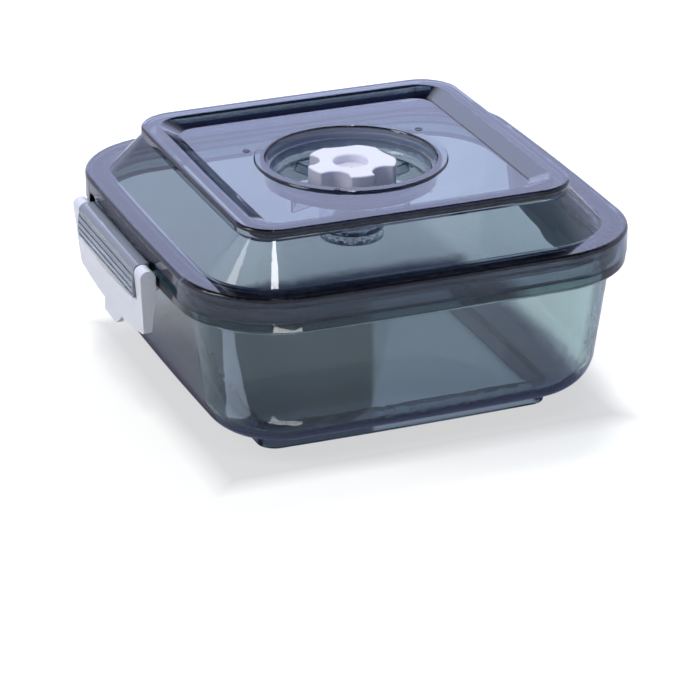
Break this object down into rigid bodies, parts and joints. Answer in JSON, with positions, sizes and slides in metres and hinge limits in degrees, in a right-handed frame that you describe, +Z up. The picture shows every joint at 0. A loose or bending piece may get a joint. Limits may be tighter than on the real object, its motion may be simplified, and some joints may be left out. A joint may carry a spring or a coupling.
{
  "type": "vacuum seal canister",
  "caption": "Low square see-through food canister with a raised lid, swinging side clips, a lobed vent knob in a round well and a spring-loaded vacuum valve.",
  "frame": {"origin": "middle of the face that the foot stands on", "axes": "+Z up, front is -Y, clips hang on -X and +X"},
  "size_m": [0.2162, 0.2004, 0.1018],
  "materials": {
    "tub": "clear smoke grey tint",
    "lid": "clear smoke blue tint",
    "lid_gasket": "clear grey silicone",
    "clip": "white",
    "hinge_pins": "ground steel",
    "vent_knob": "white, satin gloss",
    "soft_white": "white silicone",
    "seal_ring": "black rubber",
    "slip_washer": "milky low-friction plastic",
    "spring_steel": "bright spring steel",
    "valve_plastic": "white",
    "cage": "clear smoke tint",
    "position_marks": "dark print"
  },
  "bodies": {
    "tub": {"tub": "tub"},
    "lid": {"lid": "lid", "lid_gasket": "lid_gasket", "hinge_pins_left": "hinge_pins", "hinge_pins_right": "hinge_pins", "knob_slip_washer": "slip_washer", "valve_cage": "cage", "cage_seal": "soft_white", "strainer": "cage", "valve_spring": "spring_steel", "position_marks": "position_marks"},
    "clip_left": {"clip_left": "clip"},
    "clip_right": {"clip_right": "clip"},
    "knob": {"vent_knob": "vent_knob", "port_sleeve": "soft_white", "knob_seal_ring": "seal_ring", "knob_circlip": "spring_steel"},
    "valve": {"valve_disc": "valve_plastic", "valve_seal": "soft_white", "lift_collar": "valve_plastic"}
  },
  "joints": [
    {"name": "lid_lift", "type": "slide", "parent": "tub", "child": "lid", "axis": [0, 0, 1], "range_m": [0, 0.12]},
    {"name": "clip_left_hinge", "type": "hinge", "parent": "lid", "child": "clip_left", "pos_m": [-0.1039, 0.01175, 0.07145], "axis": [0, 1, 0], "range_deg": [0, 130]},
    {"name": "clip_right_hinge", "type": "hinge", "parent": "lid", "child": "clip_right", "pos_m": [0.1039, 0.01175, 0.07145], "axis": [0, -1, 0], "range_deg": [0, 130]},
    {"name": "knob_turn", "type": "hinge", "parent": "lid", "child": "knob", "pos_m": [0, 0, 0.088], "axis": [0, 0, 1], "range_deg": [0, 120]},
    {"name": "valve_lift", "type": "slide", "parent": "lid", "child": "valve", "axis": [0, 0, 1], "range_m": [0, 0.0018], "deforming": ["valve_spring"]}
  ],
  "couplings": [
    {"joint": "valve_lift", "follows": "knob_turn", "m_per_rad": 0.00083}
  ]
}
